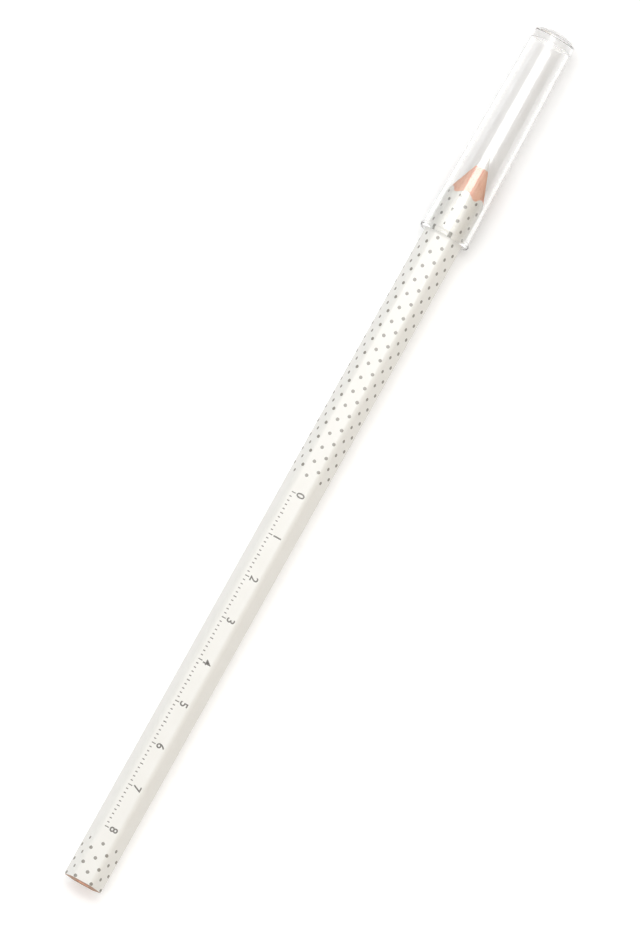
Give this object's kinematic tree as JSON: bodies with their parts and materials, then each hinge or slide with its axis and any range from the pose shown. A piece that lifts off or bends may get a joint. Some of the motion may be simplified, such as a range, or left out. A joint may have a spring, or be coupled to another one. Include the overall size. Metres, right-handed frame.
{
  "type": "fabric marking pencil",
  "caption": "Hexagonal wooden marking pencil for fabric, white lacquer with a dotted print, pale core, sharpened end under a clear tapered push-on cap.",
  "frame": {"origin": "middle of the cut rear end face, on the barrel's axis", "axes": "+X along the barrel from the rear end to the point and on to the cap's closed end; +Z square to the upper flat; +Y to the left of someone who looks along +X"},
  "size_m": [0.2043, 0.0114, 0.0114],
  "materials": {
    "wood": "bare, finely cut, pinkish light brown with close straight grain",
    "core": "matt, chalky and slightly waxy white marking core",
    "lacquer": "smooth glossy white lacquer with a small grey polka-dot print",
    "clear_plastic": "clear moulded plastic, polished"
  },
  "bodies": {
    "pencil": {"upper_slat": "wood", "lower_slat": "wood", "marking_core": "core", "lacquer_coat": "lacquer"},
    "cap": {"cap": "clear_plastic"}
  },
  "joints": [
    {"name": "cap_pull", "type": "slide", "parent": "pencil", "child": "cap", "axis": [1, 0, 0], "range_m": [0, 0.03]}
  ]
}
